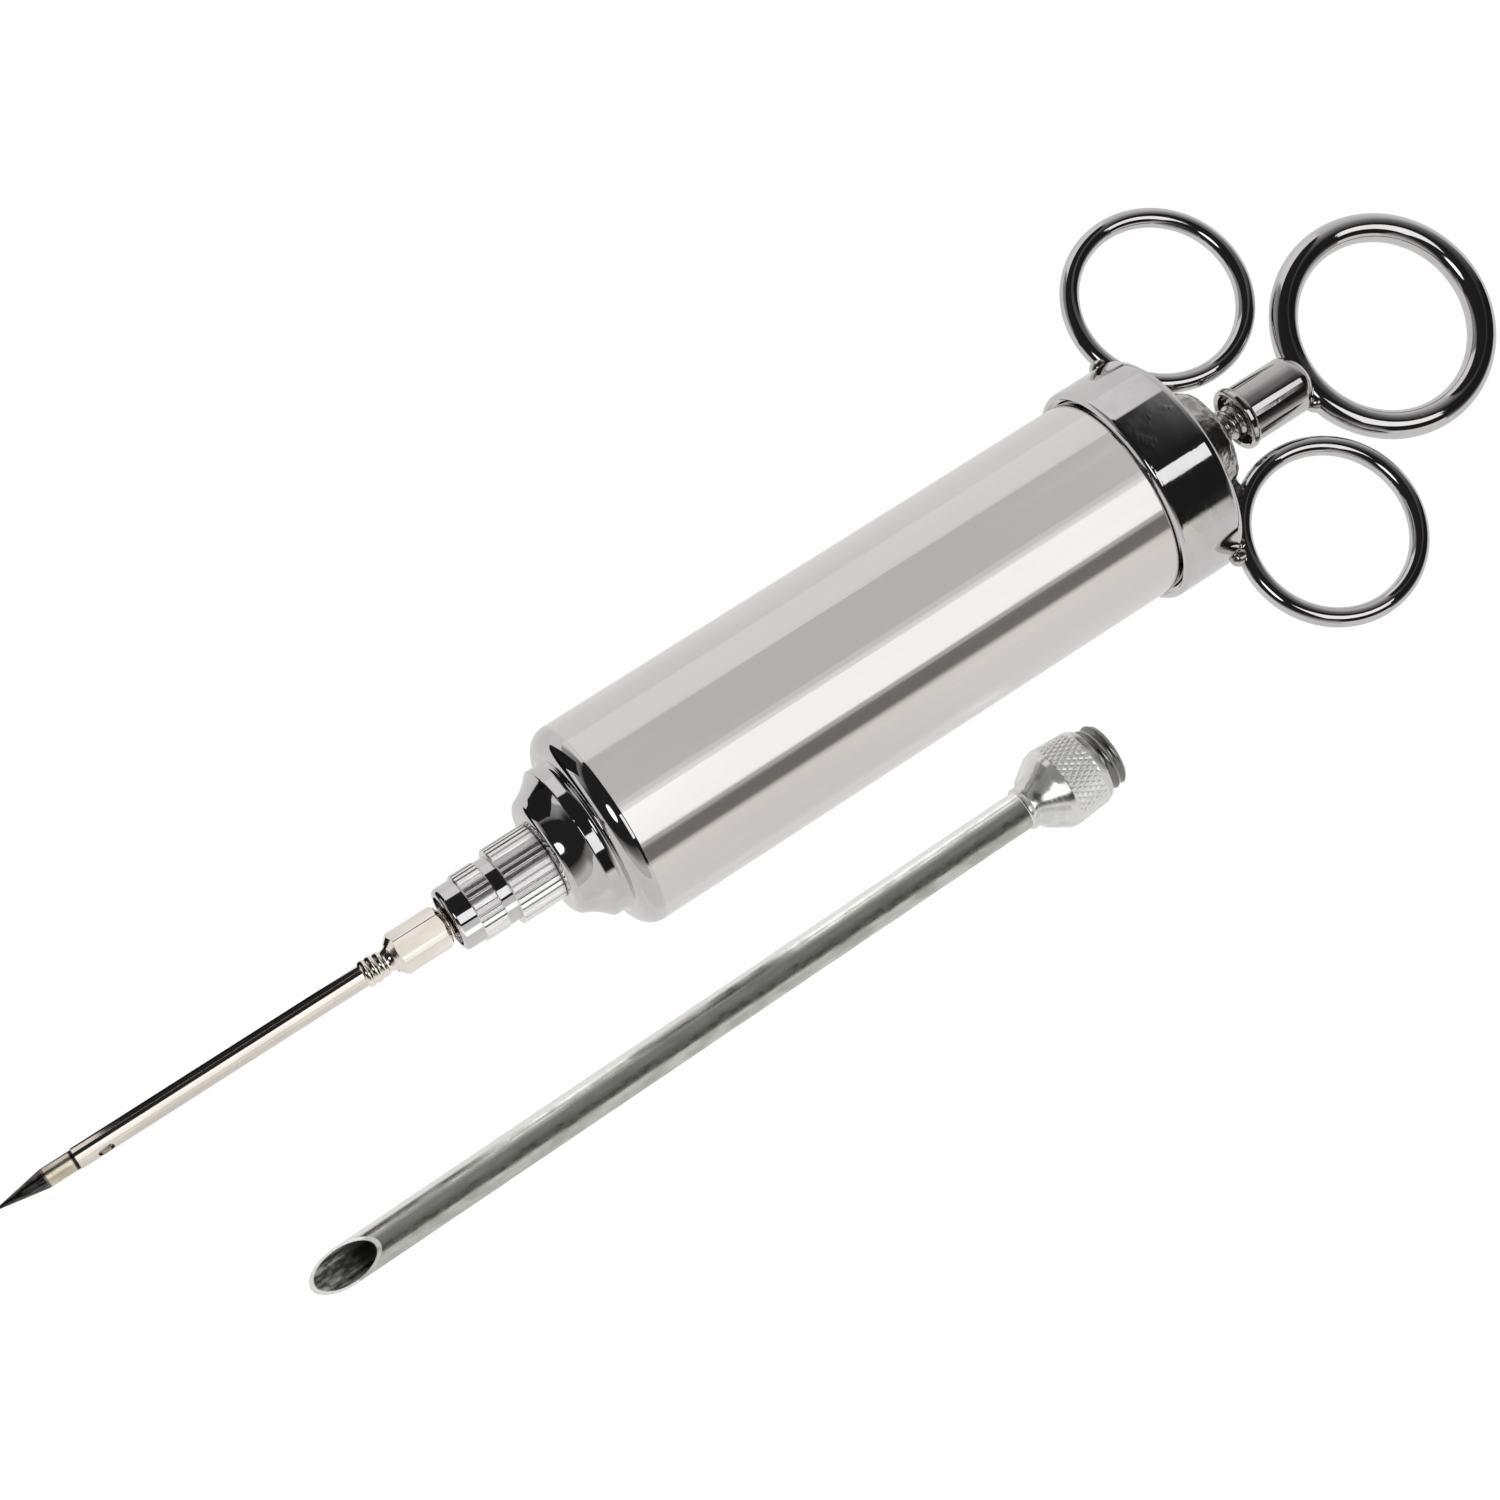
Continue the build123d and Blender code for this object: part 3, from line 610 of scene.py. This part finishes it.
def add_rod():
    """The plunger rod with a rounded screw thread where it enters the thumb hub."""
    low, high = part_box("plunger_rod")
    piston_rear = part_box("piston_body")[1].x
    hub_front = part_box("thumb_hub")[0].x
    rod_r = high.y
    thread_start, thread_end = BOSS_TOP + 0.6 * MM, hub_front + 2.3 * MM
    outline = [
        (low.x, AXIS_R),
        (low.x, ROD_TAIL_R - ROD_CHAMFER),
        (low.x + ROD_CHAMFER, ROD_TAIL_R),
        (piston_rear, ROD_TAIL_R),
        (piston_rear, rod_r - 0.1 * MM),
        (piston_rear + 0.1 * MM, rod_r),
    ]
    outline += [(x, rod_r) for x in spaced(thread_start, thread_end, 0.07 * MM)]
    outline += [(high.x, rod_r), (high.x, AXIS_R)]

    def relief(x, angle, r):
        if r < rod_r or not thread_start <= x <= thread_end:
            return r
        wave = 0.5 - 0.5 * math.cos(2 * math.pi * x / ROD_THREAD_PITCH - angle)
        fade = thread_fade(x, thread_start, thread_end, ROD_THREAD_RUN_OUT)
        return r - ROD_THREAD_DEPTH * fade * wave ** 1.3

    skin = revolved(outline, ROUND_SEGMENTS, relief)
    return add_piece("rod_threaded", *skin, "turned_steel", "plunger", ["plunger_rod"])


# ---- spare needle hub -------------------------------------------------------------------------

SPARE_TUBE_R = 2.95 * MM
SPARE_BORE_R = 2.5 * MM
SPARE_HUB_R = 6.45 * MM
SPARE_YAW = math.radians(0.3)
SHOULDER = 122.4 * MM
KNURL_START = 128.5 * MM
KNURL_END = 133.9 * MM
COLLAR_END = 135.2 * MM
SPIGOT_END = 138.1 * MM
SOCKET_END = 126.4 * MM
KNURL_END_R = 6.1 * MM
SPIGOT_R = 5.1 * MM
DIAMONDS = 42
DIAMOND_SEGMENTS = 10
DIAMOND_DEPTH = 0.17 * MM
DIAMOND_SLANT = math.radians(32)
SPIGOT_PITCH = 1.4 * MM
SPIGOT_DEPTH = 0.5 * MM
SPIGOT_RUN_OUT = 0.5 * MM
NECK_R = 3.4 * MM                    # the bead around the tube where it enters the hub
CONE_START_R = 4.2 * MM
CONE_END_R = 6.05 * MM


def spare_place():
    """The spare needle's own frame: its tip at the origin, its axis along X."""
    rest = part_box("rear_cap")[0].z
    rise = math.atan2(SPARE_HUB_R - SPARE_TUBE_R, KNURL_START)
    tip = Vector((-112.9 * MM, -30.4 * MM, rest + SPARE_TUBE_R))
    turn = Matrix.Rotation(SPARE_YAW, 4, "Z") @ Matrix.Rotation(-rise, 4, "Y")
    return Matrix.Translation(tip) @ turn


def diamond_height(x, angle):
    """0 at the foot of a diamond knurl's crossing grooves, 1 on top of its points."""
    lead = x / (2 * math.pi * SPARE_HUB_R / DIAMONDS) * math.tan(DIAMOND_SLANT)
    right = abs((angle * DIAMONDS / (2 * math.pi) + lead) % 1 - 0.5) * 2
    left = abs((angle * DIAMONDS / (2 * math.pi) - lead) % 1 - 0.5) * 2
    return 1 - max(max(right, left) - 0.25, 0) / 0.75


def add_spare_hub():
    """The diamond-knurled hub with its smooth cone, satin collar and two-turn thread."""
    outline = [
        (SHOULDER, SPARE_TUBE_R - 0.05 * MM),
        (SHOULDER, 3.25 * MM),
        (SHOULDER + 0.15 * MM, NECK_R),
        (SHOULDER + 0.8 * MM, NECK_R),
        (SHOULDER + 1.0 * MM, 3.3 * MM),
        (SHOULDER + 1.3 * MM, 3.45 * MM),
        (SHOULDER + 1.9 * MM, CONE_START_R),
        (KNURL_START - 1.4 * MM, CONE_END_R),
        (KNURL_START - 0.9 * MM, 6.25 * MM),
        (KNURL_START - 0.25 * MM, 6.38 * MM),
    ]
    for x in spaced(KNURL_START, KNURL_END, 0.085 * MM):
        share = (x - KNURL_START) / (KNURL_END - KNURL_START)
        outline.append((x, SPARE_HUB_R + (KNURL_END_R - SPARE_HUB_R) * share))
    outline += [
        (KNURL_END + 0.2 * MM, KNURL_END_R - 0.05 * MM),
        (COLLAR_END - 0.6 * MM, KNURL_END_R - 0.25 * MM),
        (COLLAR_END - 0.15 * MM, KNURL_END_R - 0.5 * MM),
        (COLLAR_END, KNURL_END_R - 0.95 * MM),
        (COLLAR_END, SPIGOT_R - 0.6 * MM),
    ]
    outline += [
        (x, SPIGOT_R) for x in spaced(COLLAR_END + 0.1 * MM, SPIGOT_END - 0.3 * MM, 0.09 * MM)
    ]
    outline += [
        (SPIGOT_END, SPIGOT_R - 0.5 * MM),
        (SPIGOT_END, SPARE_BORE_R + 0.25 * MM),
        (SPIGOT_END - 0.25 * MM, SPARE_BORE_R),
        (SOCKET_END, SPARE_BORE_R),
        (SOCKET_END, SPARE_TUBE_R - 0.05 * MM),
    ]

    def relief(x, angle, r):
        if KNURL_START <= x <= KNURL_END:
            edge = thread_fade(x, KNURL_START, KNURL_END, 0.25 * MM)
            return r - DIAMOND_DEPTH * (1 - diamond_height(x, angle)) * edge
        if x > COLLAR_END and r == SPIGOT_R:
            wave = 0.5 - 0.5 * math.cos(2 * math.pi * x / SPIGOT_PITCH - angle)
            fade = thread_fade(x, COLLAR_END, SPIGOT_END, SPIGOT_RUN_OUT)
            return r - SPIGOT_DEPTH * (1 - fade + fade * wave ** 1.2)
        return r

    vertices, faces = revolved(outline, DIAMONDS * DIAMOND_SEGMENTS, relief)
    place = spare_place()
    vertices = [tuple(place @ Vector(vertex)) for vertex in vertices]
    return add_piece(
        "spare_hub_knurled", vertices, faces, "satin_steel", "spare_needle", ["spare_needle_hub"]
    )


yoke = add_yoke()
ring_brazing = add_ring_brazing()
thumb_brazing = add_thumb_brazing()
rod = add_rod()
spare_hub = add_spare_hub()
light_tool(spare_hub)
# nothing mirrors the barrel or the spare needle, so neither shows in the other
for unmirrored in (spare_hub, frame["nodes"]["spare_needle_tube"], frame["nodes"]["barrel_tube"]):
    unmirrored.visible_glossy = False

# ---- materials --------------------------------------------------------------------------------


class Surface:
    """A Principled material being put together from fields laid over the object's own space."""

    def __init__(self, name, metallic=1.0):
        self.material = bpy.data.materials.new(name)
        self.material.use_nodes = True
        tree = self.material.node_tree
        self.nodes, self.links = tree.nodes, tree.links
        self.shader = self.nodes["Principled BSDF"]
        self.shader.inputs["Metallic"].default_value = metallic
        self.place = self.nodes.new("ShaderNodeTexCoord").outputs["Object"]

    def put(self, value, socket):
        """Link a field to a socket, or set the socket to a plain number or colour."""
        if isinstance(value, bpy.types.NodeSocket):
            self.links.new(value, socket)
        elif isinstance(value, tuple):
            socket.default_value = (*value, 1)
        else:
            socket.default_value = value

    def noise(self, scale, detail=3.0, roughness=0.5):
        """Cloudy field, 0 to 1. Scale is cells per metre along X, Y and Z."""
        mapping = self.nodes.new("ShaderNodeMapping")
        mapping.inputs["Scale"].default_value = scale
        field = self.nodes.new("ShaderNodeTexNoise")
        field.inputs["Scale"].default_value = 1.0
        field.inputs["Detail"].default_value = detail
        field.inputs["Roughness"].default_value = roughness
        self.links.new(self.place, mapping.inputs[0])
        self.links.new(mapping.outputs[0], field.inputs["Vector"])
        return field.outputs["Fac"]

    def math(self, operation, first, second=0.0):
        node = self.nodes.new("ShaderNodeMath")
        node.operation = operation
        self.put(first, node.inputs[0])
        self.put(second, node.inputs[1])
        return node.outputs[0]

    def ramp(self, field, low, high, to_low=0.0, to_high=1.0):
        """to_low where the field is below low, to_high above high, smooth between."""
        node = self.nodes.new("ShaderNodeMapRange")
        node.interpolation_type = "SMOOTHSTEP"
        self.put(field, node.inputs["Value"])
        for name, value in (("From Min", low), ("From Max", high)):
            node.inputs[name].default_value = value
        for name, value in (("To Min", to_low), ("To Max", to_high)):
            node.inputs[name].default_value = value
        return node.outputs[0]

    def axis(self, name):
        """One of the object's own coordinates, in metres."""
        split = self.nodes.new("ShaderNodeSeparateXYZ")
        self.links.new(self.place, split.inputs[0])
        return split.outputs[name]

    def between(self, field, start, end, edge):
        """1 where the field is between two values, falling to 0 across the edge."""
        rise = self.ramp(field, start - edge, start + edge)
        fall = self.ramp(field, end - edge, end + edge, 1.0, 0.0)
        return self.math("MULTIPLY", rise, fall)

    def mix(self, factor, first, second):
        return mix_colours(self.nodes, self.links, factor, first, second)

    def finish(self, colour, roughness, relief=()):
        """Set colour and roughness, and bump from (field, depth in mm) pairs."""
        self.put(colour, self.shader.inputs["Base Color"])
        self.put(roughness, self.shader.inputs["Roughness"])
        height = None
        for field, depth in relief:
            part = self.math("MULTIPLY", field, depth)
            height = part if height is None else self.math("ADD", height, part)
        if height is not None:
            bump = self.nodes.new("ShaderNodeBump")
            bump.inputs["Strength"].default_value = 1.0
            bump.inputs["Distance"].default_value = MM
            self.links.new(height, bump.inputs["Height"])
            self.links.new(bump.outputs[0], self.shader.inputs["Normal"])
        return self.material


def shade(colour, factor):
    return tuple(channel * factor for channel in colour)


def polished_steel():
    """Drawn tube, polished: faint lines along it and a slow waver in what it mirrors."""
    s = Surface("polished_steel")
    steel = (0.765, 0.742, 0.745)
    cloud = s.noise((14, 90, 90), 4.0)
    colour = s.mix(s.ramp(cloud, 0.35, 0.65), shade(steel, 0.96), shade(steel, 1.03))
    lines = s.noise((22, 1700, 1700), 4.0)
    roughness = s.ramp(lines, 0.3, 0.7, 0.06, 0.115)
    return s.finish(colour, roughness, [(lines, 0.0011), (s.noise((12, 45, 45)), 0.035)])


def chrome(name, pitting=0.0016, pits_per_metre=5600, streaks=0.0, tint=(0.67, 0.66, 0.665)):
    """Plated steel: a slow ripple, patches of fine pits, and a haze of handling marks."""
    s = Surface(name)
    haze = s.noise((260, 260, 260), 4.0)
    pits = s.noise((pits_per_metre,) * 3, 2.0)
    patches = s.ramp(s.noise((240, 240, 240)), 0.5, 0.66)
    colour = s.mix(s.ramp(haze, 0.4, 0.7), tint, shade(tint, 0.94))
    roughness = s.ramp(haze, 0.35, 0.75, 0.035, 0.085)
    relief = [
        (s.noise((210, 210, 210), 2.0), 0.006),
        (s.math("MULTIPLY", pits, patches), pitting),
    ]
    if streaks:
        relief.append((s.noise((35, 520, 520), 2.0), streaks))
    return s.finish(colour, roughness, relief)


SMALL_KNURL = (3.1 * MM, 7.0 * MM)   # from the adapter's front face
LARGE_KNURL_LENGTH = 7.05 * MM


def knurled_chrome():
    """The adapter's plating: mirror bright on its bands and matt in its two knurls."""
    s = Surface("knurled_chrome")
    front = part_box("needle_adapter")[0].x
    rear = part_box("front_cap")[0].x
    x = s.axis("X")
    small = s.between(x, front + SMALL_KNURL[0], front + SMALL_KNURL[1], 0.05 * MM)
    large = s.between(x, rear - LARGE_KNURL_LENGTH, rear, 0.05 * MM)
    knurls = s.math("ADD", small, large)
    grain = s.noise((500, 2600, 2600))
    smooth = s.ramp(s.noise((300, 300, 300)), 0.35, 0.75, 0.04, 0.09)
    rough = s.math("MULTIPLY", knurls, s.ramp(grain, 0.3, 0.7, 0.2, 0.28))
    colour = s.mix(knurls, (0.68, 0.67, 0.675), (0.92, 0.905, 0.905))
    return s.finish(colour, s.math("ADD", smooth, rough), [(grain, 0.002)])


def cast_boss():
    """Plated casting that was never polished flat."""
    s = Surface("cast_boss")
    lumps = s.noise((650, 650, 650), 3.0)
    colour = s.mix(s.ramp(lumps, 0.35, 0.65), (0.36, 0.35, 0.34), (0.62, 0.6, 0.59))
    roughness = s.ramp(lumps, 0.3, 0.7, 0.26, 0.12)
    return s.finish(colour, roughness, [(lumps, 0.1), (s.noise((2600, 2600, 2600)), 0.008)])


def braze_metal():
    """Braze that flowed and froze, a little yellower than the plating around it."""
    s = Surface("braze_metal")
    flow = s.noise((800, 800, 800), 3.0)
    colour = s.mix(s.ramp(flow, 0.4, 0.65), (0.68, 0.655, 0.61), (0.5, 0.485, 0.46))
    return s.finish(colour, s.ramp(flow, 0.3, 0.7, 0.1, 0.26), [(flow, 0.035)])


def turned_steel():
    """Lathe-turned steel with fine marks around it."""
    s = Surface("turned_steel")
    marks = s.noise((6500, 12, 12), 2.0)
    cloud = s.noise((180, 180, 180))
    colour = s.mix(s.ramp(cloud, 0.35, 0.65), (0.56, 0.555, 0.55), (0.66, 0.655, 0.65))
    return s.finish(colour, s.ramp(marks, 0.3, 0.7, 0.14, 0.26), [(marks, 0.002)])


def seal_rubber():
    """Black rubber with a fine moulded grain and a trace of bloom."""
    s = Surface("seal_rubber", metallic=0.0)
    grain = s.noise((2600, 2600, 2600))
    bloom = s.ramp(s.noise((170, 170, 170), 4.0), 0.5, 0.75)
    colour = s.mix(bloom, (0.012, 0.012, 0.013), (0.035, 0.035, 0.036))
    return s.finish(colour, s.ramp(grain, 0.3, 0.7, 0.42, 0.6), [(grain, 0.006)])


def white_nylon():
    """Natural nylon: cream white, slightly mottled, with faint machining lines."""
    s = Surface("white_nylon", metallic=0.0)
    cloud = s.noise((260, 260, 260))
    marks = s.noise((4200, 20, 20), 2.0)
    colour = s.mix(s.ramp(cloud, 0.35, 0.65), (0.74, 0.72, 0.66), (0.82, 0.81, 0.76))
    return s.finish(colour, s.ramp(marks, 0.3, 0.7, 0.32, 0.45), [(marks, 0.003)])


def needle_steel(name, brightness=1.0):
    """Warm nickel-plated steel with fine drawn lines; brightness scales its colours, and above 1 it
    paints a lighter copy that stands in for more light.
    """
    s = Surface(name)
    lines = s.noise((24, 2600, 2600), 3.0)
    cloud = s.noise((140, 500, 500))
    dull, bright = (shade(c, brightness) for c in ((0.72, 0.675, 0.62), (0.8, 0.755, 0.70)))
    colour = s.mix(s.ramp(cloud, 0.35, 0.65), dull, bright)
    return s.finish(colour, s.ramp(lines, 0.3, 0.7, 0.08, 0.15), [(lines, 0.0014)])


TIP_CONE_LENGTH = 7.8 * MM


def tip_steel():
    """A dark ground point on a brassy plug, with a black ring at each of the plug's ends."""
    s = Surface("tip_steel")
    tube_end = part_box("needle_tube")[0].x
    cone_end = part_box("needle_tip")[0].x + TIP_CONE_LENGTH
    x = s.axis("X")
    lines = s.noise((200, 3200, 3200), 3.0)
    brass = s.mix(s.ramp(s.noise((500, 500, 500)), 0.35, 0.65), (0.62, 0.55, 0.43), (0.8, 0.74, 0.62))
    ground = s.mix(s.ramp(lines, 0.35, 0.65), (0.06, 0.058, 0.055), (0.15, 0.147, 0.142))
    on_plug = s.ramp(x, cone_end - 0.1 * MM, cone_end + 0.25 * MM)
    at_cone = s.between(x, cone_end + 0.05 * MM, cone_end + 0.3 * MM, 0.1 * MM)
    at_tube = s.between(x, tube_end - 0.55 * MM, tube_end, 0.15 * MM)
    # black rings where the plug meets the cone and the tube
    end_rings = s.math("MAXIMUM", s.math("MULTIPLY", at_cone, 0.75), at_tube)
    colour = s.mix(end_rings, s.mix(on_plug, ground, brass), (0.03, 0.027, 0.03))
    roughness = s.ramp(lines, 0.3, 0.7, 0.2, 0.34)
    return s.finish(colour, roughness, [(lines, 0.003)])


SEAM_ANGLE = math.radians(113)
SEAM_HALF = math.radians(8)
PAINTED_LIGHT_SIDE = (math.radians(46), math.radians(64))   # angles where the painted lighter side, a painted highlight along the tube, gives way
LIT_PATCH_HEIGHTS = (-2.4 * MM, -1.0 * MM)               # where the bore's painted patch of light fades upwards
LIT_PATCH_LENGTHS = (2 * MM, 9 * MM)                     # and inwards from the tip


def mill_steel():
    """Grey-green mill finish: a dark seam, a painted lighter side that stands in for light along the
    tube, and a bore painted dark as shade with a painted patch of light low at its mouth.
    """
    s = Surface("mill_steel")
    mapping = s.nodes.new("ShaderNodeMapping")
    mapping.vector_type = "TEXTURE"
    place = spare_place()
    mapping.inputs["Location"].default_value = place.to_translation()
    mapping.inputs["Rotation"].default_value = place.to_euler()
    s.links.new(s.place, mapping.inputs[0])
    s.place = mapping.outputs[0]
    angle = s.math("ARCTAN2", s.axis("Z"), s.axis("Y"))
    wobble = s.ramp(s.noise((330, 90, 90), 4.0), 0.3, 0.7, -0.1, 0.1)
    wandered = s.math("ADD", angle, wobble)
    seam = s.between(
        wandered, SEAM_ANGLE - SEAM_HALF, SEAM_ANGLE + SEAM_HALF, math.radians(5)
    )
    specks = s.ramp(s.noise((700, 1500, 1500), 4.0), 0.4, 0.62, 0.25, 1.0)
    streaks = s.noise((26, 1300, 1300), 4.0)
    blotches = s.noise((240, 600, 600), 4.0)
    steel = s.mix(s.ramp(blotches, 0.35, 0.68), (0.66, 0.675, 0.64), (0.5, 0.515, 0.475))
    steel = s.mix(s.ramp(streaks, 0.45, 0.75, 0.0, 0.5), steel, (0.42, 0.43, 0.39))
    # painted highlight: one side of the tube is painted near white to stand in for light falling on
    # it
    painted_light_side = s.ramp(wandered, *PAINTED_LIGHT_SIDE, 0.85, 0.0)
    steel = s.mix(painted_light_side, steel, (0.97, 0.975, 0.96))
    stained = s.math("MULTIPLY", s.math("MULTIPLY", seam, specks), 0.62)
    colour = s.mix(stained, steel, (0.16, 0.155, 0.12))
    squares = [s.math("POWER", s.axis(name), 2) for name in ("Y", "Z")]
    radius = s.math("SQRT", s.math("ADD", *squares))
    outside = s.ramp(radius, SPARE_BORE_R + 0.02 * MM, SPARE_BORE_R + 0.12 * MM)
    # painted shade and light: the bore is painted near black as shade, with a painted patch of light
    # low inside its mouth
    low_down = s.ramp(s.axis("Z"), *LIT_PATCH_HEIGHTS, 1.0, 0.0)
    near_cut = s.ramp(s.axis("X"), *LIT_PATCH_LENGTHS, 1.0, 0.0)
    painted_lit_patch = s.math("MULTIPLY", s.math("MULTIPLY", low_down, near_cut), specks)
    colour = s.mix(outside, s.mix(painted_lit_patch, (0.02, 0.02, 0.018), (0.6, 0.62, 0.58)), colour)
    roughness = s.ramp(blotches, 0.3, 0.7, 0.22, 0.34)
    return s.finish(colour, roughness, [(streaks, 0.0022), (blotches, 0.004)])


def satin_steel():
    """Bright steel, finely marked around: matt in the knurl, satin on the collar, dark thread."""
    s = Surface("satin_steel")
    marks = s.noise((5200, 40, 40), 3.0)
    cloud = s.noise((420, 420, 420), 3.0)
    tip = spare_place().to_translation().x
    x = s.axis("X")
    knurl = s.between(x, tip + KNURL_START, tip + KNURL_END, 0.1 * MM)
    collar = s.between(x, tip + KNURL_END, tip + COLLAR_END, 0.1 * MM)
    colour = s.mix(s.ramp(cloud, 0.35, 0.65), (0.84, 0.845, 0.83), (0.72, 0.725, 0.71))
    colour = s.mix(knurl, colour, (0.9, 0.905, 0.89))
    spigot = s.ramp(x, tip + COLLAR_END - 0.1 * MM, tip + COLLAR_END + 0.2 * MM)
    colour = s.mix(spigot, colour, (0.22, 0.22, 0.2))
    matt = s.math("ADD", s.math("MULTIPLY", knurl, 0.2), s.math("MULTIPLY", collar, 0.12))
    roughness = s.math("ADD", s.ramp(marks, 0.3, 0.7, 0.13, 0.24), matt)
    return s.finish(colour, roughness, [(marks, 0.002), (cloud, 0.005)])


slot_materials = {
    "polished_steel": polished_steel(),
    "bright_chrome": chrome("bright_chrome"),
    "cast_boss": cast_boss(),
    "braze_metal": braze_metal(),
    "turned_steel": turned_steel(),
    "seal_rubber": seal_rubber(),
    "white_nylon": white_nylon(),
    "needle_steel": needle_steel("needle_steel"),
    "tip_steel": tip_steel(),
    "mill_steel": mill_steel(),
    "satin_steel": satin_steel(),
}
node_materials = {
    "needle_adapter": knurled_chrome(),
    # the hex hub gets a copy of the needle's steel painted 22% lighter, standing in for more light on
    # it
    "needle_hub": needle_steel("needle_hub_steel_painted_lighter", brightness=1.22),
    "rear_cap": chrome("cap_chrome", pitting=0.006, pits_per_metre=2400),
    "thumb_hub": chrome("hub_chrome", streaks=0.11, tint=(0.62, 0.605, 0.605)),
}

for subpart in frame["record"]["subparts"]:
    node = frame["nodes"][subpart["node"]]
    node.data.materials.clear()
    finish = node_materials.get(subpart["node"], slot_materials[subpart["material_slot"]])
    node.data.materials.append(finish)
for piece in (yoke, ring_brazing, thumb_brazing, rod, spare_hub):
    piece.data.materials.append(slot_materials[piece["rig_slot"]])
